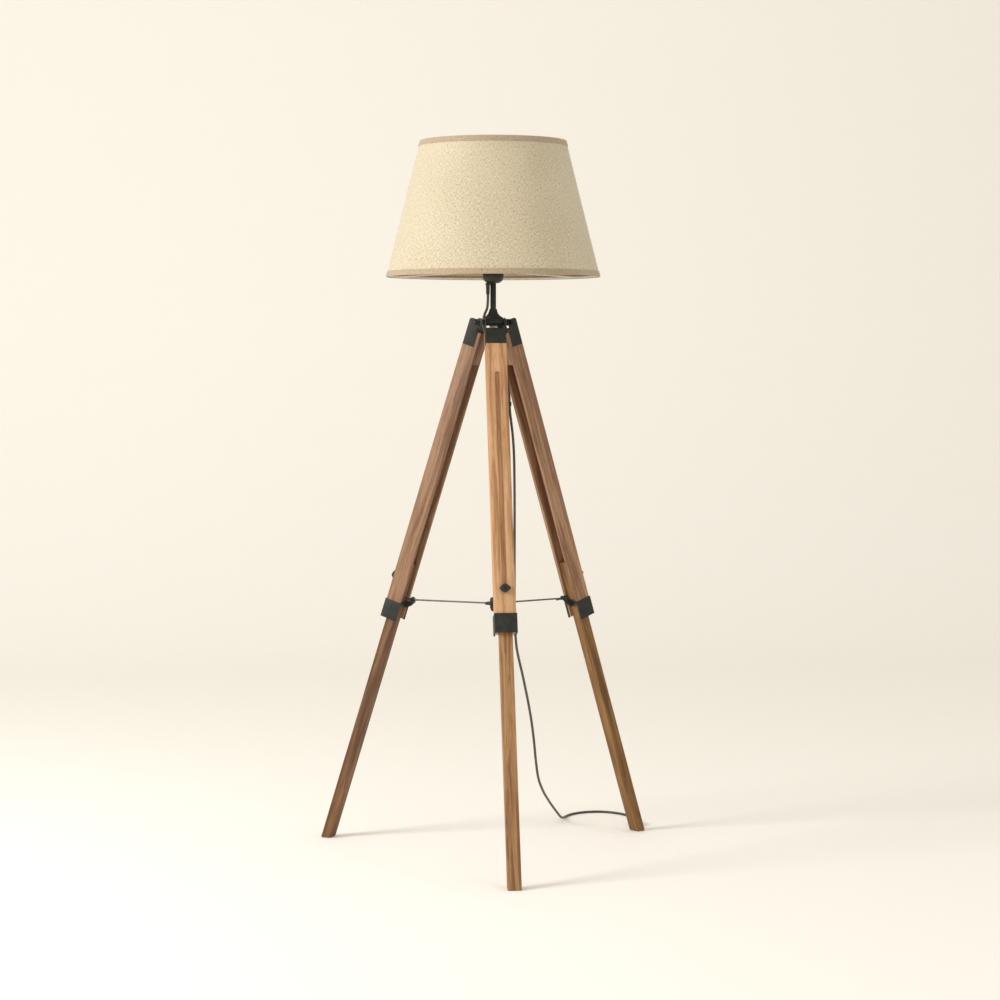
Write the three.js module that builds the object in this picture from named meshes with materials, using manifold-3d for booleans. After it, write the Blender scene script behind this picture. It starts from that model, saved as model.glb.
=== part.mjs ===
// Tripod floor lamp with a tapered fabric shade, three telescopic wooden legs and a folding spreader.
// Millimetres, +Z up. The floor is z = 0 and the origin is the centre of the footprint on the floor.
// The front leg points along -Y, and the other two stand 120 degrees to each side of it.
import * as THREE from 'three';
import { mergeVertices } from 'three/addons/utils/BufferGeometryUtils.js';
import Module from 'manifold-3d';

const wasm = await Module();
wasm.setup();

// ---------------------------------------------------------------- driving dimensions
const GAP = 0.3; // clearance between pieces that touch
const AXIS_Y = 90; // the lamp's vertical axis stands this far behind the footprint's centre

const LEG_NAMES = ['front', 'right', 'left']; // 120 degrees apart, turning about +Z
const LEG_TILT = THREE.MathUtils.degToRad(18.2); // from the vertical, with the legs open
const HINGE_RADIUS = 32; // from the lamp's axis to a leg's hinge
const HINGE_Z = 1120;

// A leg's own frame: x across the leg, -y out of its outer face, -z down along the leg, hinge at 0.
const LEG_WIDTH = 42.6;
const OUTER_FACE = -14;
const INNER_FACE = 20;
const WALL = 7.2; // side walls of the upper leg's channel
const WEB = 8; // the channel's outer wall, which the groove is cut in
const UPPER_TOP = 18.5; // distances down the leg from the hinge
const CHANNEL_TOP = 88;
const GROOVE_TOP = 112;
const GROOVE_BOTTOM = 579;
const GROOVE_WIDTH = 10.5;
const GROOVE_DEPTH = 5.5;
const UPPER_BOTTOM = 662;
const COLLAR_TOP = 624;
const COLLAR_BOTTOM = 664.3;
const COLLAR_WALL = 1.5;
const COLLAR_BAND = 10;
const LOWER_WIDTH = 27.4;
const LOWER_DEPTH = 21.2;
const LOWER_TOP = 538;
const LOWER_FRONT = OUTER_FACE + WEB + 0.4;
const LOWER_BACK = LOWER_FRONT + LOWER_DEPTH;
const FOOT_ROUNDING = 4;
const STUD_DOWN = 573.5; // the clamp stud, at the groove's lower end
const STUD_RADIUS = 3;

const BRACKET_STEEL = 2;
const BRACKET_BOTTOM = 50.5;
const BRACKET_FACE_TOP = 16.8;
const BOLT_RADIUS = 3;
const HUB_BOTTOM = 1113;
const HUB_TOP = 1127;
const TONGUE_WIDTH = 2 * (LEG_WIDTH / 2 - BRACKET_STEEL - 0.4);

const SPREADER_Z = 528; // the spreader's rods are level at this height
const LUG_RADIUS = 190; // from the lamp's axis to a rod's outer pivot
const ROD_INNER = 14; // and to its inner pivot
const ROD_RADIUS = 1.75;
const SPREADER_RADIUS = 17.5;
const SPREADER_THICK = 5;
const SPREADER_SLOT = 9.6;
const SPREADER_SLOT_FLOOR = 7.6;

const PIPE_RADIUS = 5;
const POST_RADIUS = 6.1;
const POST_TOP = 1201.7;
const CAP_BOTTOM = 1202;
const CAP_TOP = 1222.5;
const CAP_RADIUS = 22;
const SLEEVE_TOP = 1262;
const SLEEVE_RADIUS = 19.8;
const FITTER_Z = 1227; // mid-height of the shade's fitter ring, which sits on the sleeve's flange

const SHADE_BOTTOM = 1214.5;
const SHADE_TOP = 1498;
const SHADE_BOTTOM_RADIUS = 225;
const SHADE_TOP_RADIUS = 153.7;
const TAPE_HEIGHT = 11.5;
const TAPE_THICK = 0.7;
const FABRIC_THICK = 1.2;
const FRAME_WIRE = 2; // radius of the shade's wire
const WIRE_DEPTH = 2 * TAPE_THICK + FABRIC_THICK + 3 * GAP + FRAME_WIRE; // from the shade's outside
const SHADE_SIDES = 48;

const CORD_RADIUS = 2.7;
const CLIP_DOWN = 176; // the cord clip, down the front leg
const CLIP_X = 25.8;
const CLIP_Y = 9;
const PLUG_CENTRE = [349.4, 269.6]; // from the lamp's axis
const PLUG_Z = 7.6;
const PLUG_YAW = THREE.MathUtils.degToRad(-6.06);

// The cord's route, from the lamp's axis at floor level.
const UPPER_CORD = [
  [-11.9, -6.9, 1208], [-11.9, -6.9, 1190], [-11.9, -6.9, 1166], [-13.6, -7.9, 1149],
  [-18.8, -10.9, 1137], [-21.8, -12.6, 1126], [-22, -12.8, 1112], [-18.5, -13.5, 1099],
  [-11, -15.5, 1086], [-3, -20, 1070], [6, -27, 1050], [15, -34.5, 1030], [22.5, -43, 1010],
  [25.6, -55, 992], [25.8, -65.5, 978], [25.8, -73, 966], [25.8, -78.2, 950.5],
];
const FREE_CORD = [
  [25.8, -78.5, 949.6], [26.2, -82.4, 935], [28, -85.6, 916], [31, -87, 890], [34, -86, 850],
  [35.5, -84, 780], [36, -82, 700], [36, -80, 620], [36.5, -77, 550], [38, -70, 495],
  [43, -56, 442], [51, -37, 410], [60, -15, 380], [69, 9, 348], [78, 32, 314], [88, 56, 270],
  [96, 76, 224], [102, 92, 180], [110, 113, 137], [124, 148, 103], [144, 196, 70],
  [168, 256, 36], [186, 303, 13],
  [203.4, 362.5, 3], [220.5, 390.9, 2.8], [250, 412.9, 2.8], [285.7, 418.2, 2.8],
  [312.7, 407.3, 2.8], [332.8, 388, 2.8], [346.5, 365.5, 2.9], [353.3, 343.6, 3.8],
  [354.7, 324.4, 5.8], [353.7, 310.4, 7.3], [352.7, 300.9, 7.6],
];

// ---------------------------------------------------------------- materials
const metal = (color, roughness) => new THREE.MeshStandardMaterial({ color, roughness, metalness: 0.9 });
const matt = (color, roughness) => new THREE.MeshStandardMaterial({ color, roughness, metalness: 0 });
const BLACK_STEEL = () => matt('#2b2c2b', 0.55);
const ZINC = () => metal('#a9a79f', 0.35);
const BRASS = () => metal('#c2a25c', 0.35);
const UPPER_WOOD = () => matt('#b98a5c', 0.6);
const LOWER_WOOD = () => matt('#9a6b40', 0.6);
const LINEN = () => matt('#e2d5b6', 0.9);
const TAPE = () => matt('#a5936f', 0.9);
const BLACK_PLASTIC = () => matt('#1d1c1b', 0.4);
const CERAMIC = () => matt('#e9e6dc', 0.3);
const OPAL = () => matt('#f4f1e6', 0.2);
const CORD_PVC = () => matt('#33312e', 0.5);

// ---------------------------------------------------------------- solids
/** A closed geometry as a solid, with its shared vertices merged and its empty triangles left out. */
function solid(geometry) {
  const bare = geometry.clone();
  bare.deleteAttribute('normal');
  bare.deleteAttribute('uv');
  const merged = mergeVertices(bare, 1e-4);
  const index = merged.index.array;
  const kept = [];
  for (let i = 0; i < index.length; i += 3) {
    const [a, b, c] = [index[i], index[i + 1], index[i + 2]];
    if (a !== b && b !== c && c !== a) kept.push(a, b, c);
  }
  const vertProperties = new Float32Array(merged.attributes.position.array);
  return new wasm.Manifold(new wasm.Mesh({ numProp: 3, vertProperties, triVerts: new Uint32Array(kept) }));
}

function geometryOf(piece) {
  const { vertProperties, triVerts } = piece.getMesh();
  const geometry = new THREE.BufferGeometry();
  geometry.setAttribute('position', new THREE.BufferAttribute(vertProperties, 3));
  geometry.setIndex(new THREE.BufferAttribute(triVerts, 1));
  geometry.computeVertexNormals();
  return geometry;
}

/** A box given by its lowest and highest corners. */
function box([x0, y0, z0], [x1, y1, z1]) {
  const geometry = new THREE.BoxGeometry(x1 - x0, y1 - y0, z1 - z0);
  return solid(geometry.translate((x0 + x1) / 2, (y0 + y1) / 2, (z0 + z1) / 2));
}

/** A cylinder from one point to another. */
function rod(radius, from, to, sides = 20) {
  const [a, b] = [new THREE.Vector3(...from), new THREE.Vector3(...to)];
  const along = b.clone().sub(a);
  const geometry = new THREE.CylinderGeometry(radius, radius, along.length(), sides);
  const turn = new THREE.Quaternion().setFromUnitVectors(new THREE.Vector3(0, 1, 0), along.normalize());
  geometry.applyQuaternion(turn);
  const middle = a.add(b).multiplyScalar(0.5);
  return solid(geometry.translate(middle.x, middle.y, middle.z));
}

/** A solid of revolution about Z. The profile is a list of [radius, z], counter-clockwise. */
function turned(profile, sides = 32) {
  const closed = profile[0][0] === 0 ? profile : [...profile, profile[0]];
  const points = closed.map(([r, z]) => new THREE.Vector2(r, z));
  return solid(new THREE.LatheGeometry(points, sides).rotateX(Math.PI / 2));
}

/** A shape drawn in (y, z) and extruded across x. */
function acrossX(shape, x0, x1) {
  const options = { depth: x1 - x0, bevelEnabled: false, curveSegments: 8 };
  const geometry = new THREE.ExtrudeGeometry(shape, options).translate(0, 0, x0);
  const turn = new THREE.Matrix4().makeBasis(
    new THREE.Vector3(0, 1, 0),
    new THREE.Vector3(0, 0, 1),
    new THREE.Vector3(1, 0, 0),
  );
  return solid(geometry.applyMatrix4(turn));
}

/** A round-section ring of wire about Z. */
function wireRing(radius, z, wire) {
  return solid(new THREE.TorusGeometry(radius, wire, 8, SHADE_SIDES).translate(0, 0, z));
}

/** A round cord along a smooth curve through the given points. */
function cordAlong(points, step) {
  const curve = new THREE.CatmullRomCurve3(points.map((p) => new THREE.Vector3(...p)), false, 'centripetal');
  const section = new THREE.Shape().absarc(0, 0, CORD_RADIUS, 0, 2 * Math.PI);
  const steps = Math.round(curve.getLength() / step);
  const options = { steps, extrudePath: curve, curveSegments: 4, bevelEnabled: false };
  return solid(new THREE.ExtrudeGeometry(section, options));
}

function join(...pieces) {
  return pieces.reduce((whole, piece) => whole.add(piece));
}

function cut(piece, ...tools) {
  return tools.reduce((whole, tool) => whole.subtract(tool), piece);
}

function addPart(group, name, piece, material) {
  const mesh = new THREE.Mesh(geometryOf(piece), material);
  mesh.name = name;
  group.add(mesh);
}

// ---------------------------------------------------------------- shade
/** Radius of the shade's outside at a height, less a depth into its wall. */
function shadeRadius(z, depth = 0) {
  const share = (z - SHADE_BOTTOM) / (SHADE_TOP - SHADE_BOTTOM);
  return THREE.MathUtils.lerp(SHADE_BOTTOM_RADIUS, SHADE_TOP_RADIUS, share) - depth;
}

/** A conical band of the shade's wall between two heights and two depths. */
function shadeBand(z0, z1, depth0, depth1) {
  return turned([
    [shadeRadius(z0, depth1), z0],
    [shadeRadius(z0, depth0), z0],
    [shadeRadius(z1, depth0), z1],
    [shadeRadius(z1, depth1), z1],
  ], SHADE_SIDES);
}

/** Binding tape folded over one edge of the fabric: edge is the rim's height, inward is +1 or -1. */
function bindingTape(edge, inward) {
  const fabric0 = TAPE_THICK;
  const fabric1 = 2 * TAPE_THICK + 2 * GAP + FABRIC_THICK;
  const band = (from, to, depth0, depth1) => {
    const [a, b] = [edge + inward * from, edge + inward * to];
    return shadeBand(Math.min(a, b), Math.max(a, b), depth0, depth1);
  };
  return join(
    band(0, TAPE_HEIGHT, 0, TAPE_THICK),
    band(0, TAPE_THICK, fabric0 - 0.1, fabric1 - TAPE_THICK + 0.1),
    band(0, TAPE_HEIGHT * 0.7, fabric1 - TAPE_THICK, fabric1),
  );
}

/** The lower ring, three spokes and the fitter ring that the socket carries. */
function shadeFrame() {
  const z = SHADE_BOTTOM + 3.5;
  const ringRadius = shadeRadius(z, WIRE_DEPTH);
  const [low, high] = [FITTER_Z - 0.75, FITTER_Z + 0.75];
  const fitter = turned([[20.4, low], [29, low], [29, high], [20.4, high]]);
  const pieces = [wireRing(ringRadius, z, FRAME_WIRE), fitter];
  for (let i = 0; i < 3; i += 1) {
    const angle = (i * 2 * Math.PI) / 3 + Math.PI / 6;
    const at = (r, height) => [r * Math.cos(angle), r * Math.sin(angle), height];
    pieces.push(rod(1.75, at(ringRadius, z), at(27, FITTER_Z - 1.2), 10));
  }
  return join(...pieces);
}

function addShade(lamp) {
  const fabricDepth = TAPE_THICK + GAP;
  const fabric = shadeBand(SHADE_BOTTOM + 1.2, SHADE_TOP - 1.2, fabricDepth, fabricDepth + FABRIC_THICK);
  addPart(lamp, 'shade_fabric', fabric, LINEN());
  addPart(lamp, 'shade_top_tape', bindingTape(SHADE_TOP, -1), TAPE());
  addPart(lamp, 'shade_bottom_tape', bindingTape(SHADE_BOTTOM, 1), TAPE());
  const z = SHADE_TOP - 3.5;
  addPart(lamp, 'shade_top_ring', wireRing(shadeRadius(z, WIRE_DEPTH), z, FRAME_WIRE), BLACK_STEEL());
  addPart(lamp, 'shade_frame', shadeFrame(), BLACK_STEEL());
}

// ---------------------------------------------------------------- lamp holder and bulb
function socketCap() {
  const outside = [[11.2, 0], [14.6, 1.2], [17.6, 3.4], [19.9, 6.4], [21.3, 9.8], [CAP_RADIUS, 14]];
  const inside = [[20, 13.8], [19.3, 10.6], [17.9, 7.5], [15.6, 5], [12.6, 3.5], [PIPE_RADIUS + GAP, 3.2]];
  const raised = (points) => points.map(([r, z]) => [r, CAP_BOTTOM + z]);
  const rim = [[CAP_RADIUS, CAP_TOP], [20, CAP_TOP]];
  const cup = turned([[PIPE_RADIUS + GAP, CAP_BOTTOM], ...raised(outside), ...rim, ...raised(inside)]);
  const [x, y] = UPPER_CORD[0];
  return cut(cup, rod(CORD_RADIUS + GAP, [x, y, CAP_BOTTOM - 2], [x, y, CAP_BOTTOM + 8], 12));
}

/** The tapered bushing round the cord under the cap. */
function cordBushing() {
  const [x, y] = UPPER_CORD[0];
  const [top, bottom, bore] = [CAP_BOTTOM - GAP, CAP_BOTTOM - 24, CORD_RADIUS + GAP];
  const taper = turned([
    [bore, bottom], [3.6, bottom], [4.3, top - 4], [5.2, top - 3.4], [5.2, top], [bore, top],
  ], 16);
  return taper.translate([x, y, 0]);
}

function socketSleeve() {
  const flangeTop = FITTER_Z - 0.75 - GAP;
  return turned([
    [17.5, CAP_TOP + GAP], [CAP_RADIUS, CAP_TOP + GAP], [CAP_RADIUS, flangeTop], [SLEEVE_RADIUS, flangeTop],
    [SLEEVE_RADIUS, SLEEVE_TOP], [17.5, SLEEVE_TOP],
  ]);
}

/** The threaded ring that clamps the shade's fitter on the sleeve, with ribs round its edge. */
function shadeRingNut() {
  const bottom = FITTER_Z + 0.75 + GAP;
  const ring = turned([[20.2, bottom], [28, bottom], [28, bottom + 9], [20.2, bottom + 9]]);
  const ribs = [];
  for (let i = 0; i < 12; i += 1) {
    const angle = (i * Math.PI) / 6;
    const at = (z) => [28 * Math.cos(angle), 28 * Math.sin(angle), z];
    ribs.push(rod(1.3, at(bottom), at(bottom + 9), 8));
  }
  return join(ring, ...ribs);
}

function addHolderAndBulb(lamp) {
  addPart(lamp, 'socket_cap', socketCap(), BLACK_PLASTIC());
  addPart(lamp, 'cord_bushing', cordBushing(), BLACK_PLASTIC());
  addPart(lamp, 'socket_sleeve', socketSleeve(), BLACK_PLASTIC());
  addPart(lamp, 'shade_ring_nut', shadeRingNut(), BLACK_PLASTIC());
  const insulator = turned([[0, 1217], [17.2, 1217], [17.2, 1233], [15.6, 1233], [15.6, 1230], [0, 1230]]);
  addPart(lamp, 'socket_insulator', insulator, CERAMIC());
  const shell = turned([[13.9, 1230.3], [15.2, 1230.3], [15.2, 1257], [13.9, 1257]]);
  addPart(lamp, 'socket_screw_shell', shell, BRASS());
  const screwCap = turned([[0, 1234], [4.5, 1234], [6, 1236.5], [13.2, 1240], [13.2, 1262], [0, 1262]]);
  addPart(lamp, 'bulb_screw_cap', screwCap, ZINC());
  addPart(lamp, 'bulb_glass', bulbGlass(), OPAL());
}

/** A frosted globe: a straight neck that opens into a sphere. */
function bulbGlass() {
  const [neck, ball, centre] = [13.6, 30, 1308];
  const profile = [[0, SLEEVE_TOP + GAP], [neck, SLEEVE_TOP + GAP], [neck + 1, 1272]];
  for (let i = -8; i <= 15; i += 2) {
    const angle = (i / 16) * (Math.PI / 2);
    profile.push([ball * Math.cos(angle), centre + ball * Math.sin(angle)]);
  }
  return turned([...profile, [0, centre + ball]]);
}

// ---------------------------------------------------------------- post and hub
function coneFlange() {
  const seat = HUB_TOP + GAP;
  const bore = POST_RADIUS + GAP;
  return turned([
    [bore, seat], [21, seat], [21, seat + 2.6], [16, seat + 5], [11.6, seat + 9.5], [8.8, seat + 15],
    [8, seat + 20.5], [bore, seat + 20.5],
  ]);
}

/** Three tongues joined at the axis, each bored for its leg's hinge bolt. */
function hub() {
  const middle = (HUB_BOTTOM + HUB_TOP) / 2;
  const half = TONGUE_WIDTH / 2;
  const tongues = LEG_NAMES.map((_, i) => {
    const block = box([-half, -HINGE_RADIUS, HUB_BOTTOM], [half, 0, HUB_TOP]);
    const across = (radius, reach, z, sides) => {
      return rod(radius, [-reach, -HINGE_RADIUS, z], [reach, -HINGE_RADIUS, z], sides);
    };
    const nose = across((HUB_TOP - HUB_BOTTOM) / 2, half, middle, 24);
    const bore = across(BOLT_RADIUS + GAP, half + 1, HINGE_Z, 16);
    return cut(join(block, nose), bore).rotate([0, 0, 120 * i]);
  });
  const bore = rod(PIPE_RADIUS + GAP, [0, 0, HUB_BOTTOM - 1], [0, 0, HUB_TOP + 1]);
  return cut(join(...tongues), bore);
}

function hexNut(radius, bore, z0, z1) {
  return cut(rod(radius, [0, 0, z0], [0, 0, z1], 6), rod(bore, [0, 0, z0 - 1], [0, 0, z1 + 1], 16));
}

function addPost(lamp) {
  const pipe = rod(PIPE_RADIUS, [0, 0, 1103], [0, 0, 1214]);
  const wiring = rod(3.4, [0, 0, 1102], [0, 0, 1215], 12);
  addPart(lamp, 'lamp_pipe', cut(pipe, wiring), ZINC());
  const tube = turned([
    [PIPE_RADIUS + GAP, HUB_TOP + GAP], [POST_RADIUS, HUB_TOP + GAP],
    [POST_RADIUS, POST_TOP], [PIPE_RADIUS + GAP, POST_TOP],
  ]);
  addPart(lamp, 'post_tube', tube, BLACK_STEEL());
  addPart(lamp, 'cone_flange', coneFlange(), BLACK_STEEL());
  addPart(lamp, 'hub', hub(), BLACK_STEEL());
  const nut = hexNut(9, PIPE_RADIUS + GAP, HUB_BOTTOM - GAP - 6, HUB_BOTTOM - GAP);
  addPart(lamp, 'hub_nut', nut, ZINC());
}

// ---------------------------------------------------------------- legs
/** A bent steel cap: a face on the wood's outer side and two cheeks that carry the hinge bolt. */
function legBracket() {
  const side = new THREE.Shape();
  side.moveTo(OUTER_FACE, -BRACKET_BOTTOM);
  side.lineTo(OUTER_FACE, 1);
  side.quadraticCurveTo(OUTER_FACE, 6.8, OUTER_FACE + 6, 7);
  side.lineTo(3, 7);
  side.quadraticCurveTo(8.5, 7, 8.5, 1);
  side.lineTo(8.5, -13);
  side.lineTo(13, -24);
  side.lineTo(13, -BRACKET_BOTTOM);
  const outside = acrossX(side, -LEG_WIDTH / 2, LEG_WIDTH / 2);
  const cheek = LEG_WIDTH / 2 - BRACKET_STEEL;
  const inside = box([-cheek, OUTER_FACE + BRACKET_STEEL, -BRACKET_BOTTOM - 1], [cheek, INNER_FACE, 20]);
  const mouth = box([-cheek, OUTER_FACE - 1, -BRACKET_FACE_TOP], [cheek, INNER_FACE, 20]);
  const bore = rod(BOLT_RADIUS + GAP, [-LEG_WIDTH, 0, 0], [LEG_WIDTH, 0, 0], 16);
  return cut(outside, inside, mouth, bore);
}

function hingeBolt() {
  const outside = LEG_WIDTH / 2 + GAP;
  const shank = rod(BOLT_RADIUS, [-outside - 6.5, 0, 0], [outside + 1, 0, 0], 16);
  const head = rod(5.6, [outside, 0, 0], [outside + 3.2, 0, 0], 16);
  return join(shank, head);
}

function hingeNut() {
  const outside = -LEG_WIDTH / 2 - GAP;
  const body = rod(6, [outside - 5, 0, 0], [outside, 0, 0], 6);
  return cut(body, rod(BOLT_RADIUS + GAP, [outside - 6, 0, 0], [outside + 1, 0, 0], 16));
}

/** The hardwood upper leg: a channel open to the inside, with a long groove in its outer face. */
function upperLeg() {
  const half = LEG_WIDTH / 2;
  const bar = box([-half, OUTER_FACE, -UPPER_BOTTOM], [half, INNER_FACE, -UPPER_TOP]);
  const channel = box(
    [-half + WALL, OUTER_FACE + WEB, -UPPER_BOTTOM - 1],
    [half - WALL, INNER_FACE + 1, -CHANNEL_TOP],
  );
  const radius = GROOVE_WIDTH / 2;
  const [grooveTop, grooveBottom] = [-GROOVE_TOP - radius, -GROOVE_BOTTOM + radius];
  const [before, floor] = [OUTER_FACE - 1, OUTER_FACE + GROOVE_DEPTH];
  const groove = join(
    box([-radius, before, grooveBottom], [radius, floor, grooveTop]),
    rod(radius, [0, before, grooveTop], [0, floor, grooveTop]),
    rod(radius, [0, before, grooveBottom], [0, floor, grooveBottom]),
  );
  const tapped = rod(STUD_RADIUS + GAP, [0, before, -STUD_DOWN], [0, OUTER_FACE + WEB + 1, -STUD_DOWN], 16);
  const rebateDepth = BRACKET_STEEL + GAP;
  const rebateBottom = -BRACKET_BOTTOM - GAP;
  const core = half - rebateDepth;
  const rebate = cut(
    box([-half - 1, OUTER_FACE - 1, rebateBottom], [half + 1, 13 + GAP, 1]),
    box([-core, OUTER_FACE + rebateDepth, rebateBottom - 1], [core, INNER_FACE, 2]),
  );
  return cut(bar, channel, groove, tapped, rebate);
}

/** Where the floor cuts the leg, down the leg at a depth y. */
function floorAt(y) {
  return (-HINGE_Z + y * Math.sin(LEG_TILT)) / Math.cos(LEG_TILT);
}

/** The sliding lower leg, cut level with the floor at its foot. */
function lowerLeg() {
  const round = FOOT_ROUNDING;
  const outline = new THREE.Shape();
  outline.moveTo(LOWER_FRONT, -LOWER_TOP);
  outline.lineTo(LOWER_BACK, -LOWER_TOP);
  outline.lineTo(LOWER_BACK, floorAt(LOWER_BACK) + round);
  outline.quadraticCurveTo(LOWER_BACK, floorAt(LOWER_BACK), LOWER_BACK - round, floorAt(LOWER_BACK - round));
  outline.lineTo(LOWER_FRONT + round, floorAt(LOWER_FRONT + round));
  outline.quadraticCurveTo(LOWER_FRONT, floorAt(LOWER_FRONT), LOWER_FRONT, floorAt(LOWER_FRONT) + round);
  return acrossX(outline, -LOWER_WIDTH / 2, LOWER_WIDTH / 2);
}

/** The steel strap round the upper leg's end, with a band across its inner side for the spreader's lug. */
function collar() {
  const inner = LEG_WIDTH / 2 + GAP;
  const outer = inner + COLLAR_WALL;
  const [front, back] = [OUTER_FACE - GAP, INNER_FACE + GAP];
  const bandBottom = -COLLAR_TOP - COLLAR_BAND;
  const sleeve = cut(
    box([-outer, front - COLLAR_WALL, -COLLAR_BOTTOM], [outer, back + COLLAR_WALL, -COLLAR_TOP]),
    box([-inner, front, -COLLAR_BOTTOM - 1], [inner, back, -COLLAR_TOP + 1]),
    box([-inner + 2.5, back - 1, -COLLAR_BOTTOM - 1], [inner - 2.5, back + 3, bandBottom]),
  );
  const [y, z] = lugInLeg();
  const strap = new THREE.Shape();
  strap.moveTo(back + 0.2, bandBottom);
  strap.lineTo(back + 4, bandBottom);
  strap.quadraticCurveTo(y + 5, z - 14, y + 6, z);
  strap.absarc(y, z, 6, 0, Math.PI, false);
  strap.lineTo(y - 6, z - 4);
  strap.lineTo(back + 0.2, -COLLAR_TOP - 1);
  const lug = acrossX(strap, -5.1, -2.1);
  return cut(join(sleeve, lug), rod(2.8, [-9, y, z], [0, y, z], 16));
}

/** The rod's outer pivot in the leg's own frame, as [y, z]. */
function lugInLeg() {
  const [across, up] = [-(LUG_RADIUS - HINGE_RADIUS), SPREADER_Z - HINGE_Z];
  const [sin, cos] = [Math.sin(LEG_TILT), Math.cos(LEG_TILT)];
  return [across * cos - up * sin, across * sin + up * cos];
}

/** The clamp's hand knob: a rounded diamond with a bore for the stud. */
function clampKnob() {
  const [wide, high, deep] = [11.8, 9.4, 8];
  const diamond = new THREE.Shape();
  diamond.moveTo(wide, 0);
  diamond.quadraticCurveTo(wide * 0.62, high * 0.72, 0, high);
  diamond.quadraticCurveTo(-wide * 0.62, high * 0.72, -wide, 0);
  diamond.quadraticCurveTo(-wide * 0.62, -high * 0.72, 0, -high);
  diamond.quadraticCurveTo(wide * 0.62, -high * 0.72, wide, 0);
  const bevel = { bevelThickness: 1.5, bevelSize: 1.5, bevelOffset: -1.5, bevelSegments: 2 };
  const geometry = new THREE.ExtrudeGeometry(diamond, { depth: deep - 3, curveSegments: 5, ...bevel });
  geometry.translate(0, 0, 1.5).rotateX(Math.PI / 2).translate(0, OUTER_FACE - 2, -STUD_DOWN);
  return cut(solid(geometry), rod(STUD_RADIUS + GAP, [0, -40, -STUD_DOWN], [0, 0, -STUD_DOWN], 16));
}

function clampWasher() {
  const face = OUTER_FACE - GAP;
  const disc = rod(9, [0, face - 1.3, -STUD_DOWN], [0, face, -STUD_DOWN], 24);
  return cut(disc, rod(STUD_RADIUS + GAP, [0, face - 3, -STUD_DOWN], [0, face + 2, -STUD_DOWN], 16));
}

/** The rod's outer pivot bolt, across the leg through the collar's lug. */
function spreaderBolt([y, z]) {
  return join(
    rod(2.5, [-8, y, z], [12, y, z], 12),
    rod(4.6, [-8.8, y, z], [-5.4, y, z], 12),
  );
}

function wingNut([y, z]) {
  const start = 2.4;
  const wings = new THREE.Shape();
  const outline = [
    [5, 0], [8, 2.5], [13, 6.5], [13.4, 10.5], [10, 10.5], [5, 5.8],
    [-5, 5.8], [-10, 10.5], [-13.4, 10.5], [-13, 6.5], [-8, 2.5], [-5, 0],
  ];
  outline.forEach(([u, v], i) => (i ? wings.lineTo(u, v) : wings.moveTo(u, v)));
  const plate = new THREE.ExtrudeGeometry(wings, { depth: 2.4, bevelEnabled: false }).translate(0, 0, -1.2);
  const turn = new THREE.Matrix4().makeBasis(
    new THREE.Vector3(0, 1, 0),
    new THREE.Vector3(1, 0, 0),
    new THREE.Vector3(0, 0, -1),
  );
  plate.applyMatrix4(turn).translate(start, y, z);
  const hubPiece = rod(5, [start, y, z], [start + 6.5, y, z], 16);
  return cut(join(solid(plate), hubPiece), rod(2.8, [start - 1, y, z], [start + 12, y, z], 16));
}

/** A leg's rod: a flat eye at the lug, a round bar, and a small eye in the spreader's slot. */
function spreaderRod() {
  const [outer, inner, z] = [-LUG_RADIUS, -ROD_INNER, SPREADER_Z];
  const eye = cut(
    rod(5.6, [-1.25, outer, z], [1.25, outer, z], 20),
    rod(2.8, [-2, outer, z], [2, outer, z], 16),
  );
  const bar = rod(ROD_RADIUS, [0, outer + 4.6, z], [0, inner, z], 12);
  const tip = rod(2.6, [-1.5, inner, z], [1.5, inner, z], 14);
  return join(eye, bar, tip);
}

/** The round centre piece, with a slot for each rod that is open above, below and outside. */
function spreaderCentre() {
  const half = SPREADER_THICK / 2;
  const z = SPREADER_Z;
  const rim = [[SPREADER_RADIUS, z - half], [SPREADER_RADIUS, z + half]];
  const disc = turned([[0, z - half], ...rim, [0, z + half]], 48);
  const slots = LEG_NAMES.map((_, i) => {
    const slot = box(
      [-SPREADER_SLOT / 2, -SPREADER_RADIUS - 2, z - half - 1],
      [SPREADER_SLOT / 2, -SPREADER_SLOT_FLOOR, z + half + 1],
    );
    return slot.rotate([0, 0, 120 * i]);
  });
  const boss = turned([
    [0, z - 17], [3, z - 17], [5, z - 14], [6.8, z - 9], [6.8, z + 9], [5, z + 12], [3, z + 13], [0, z + 13],
  ], 24);
  return join(cut(disc, ...slots), boss);
}

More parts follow.
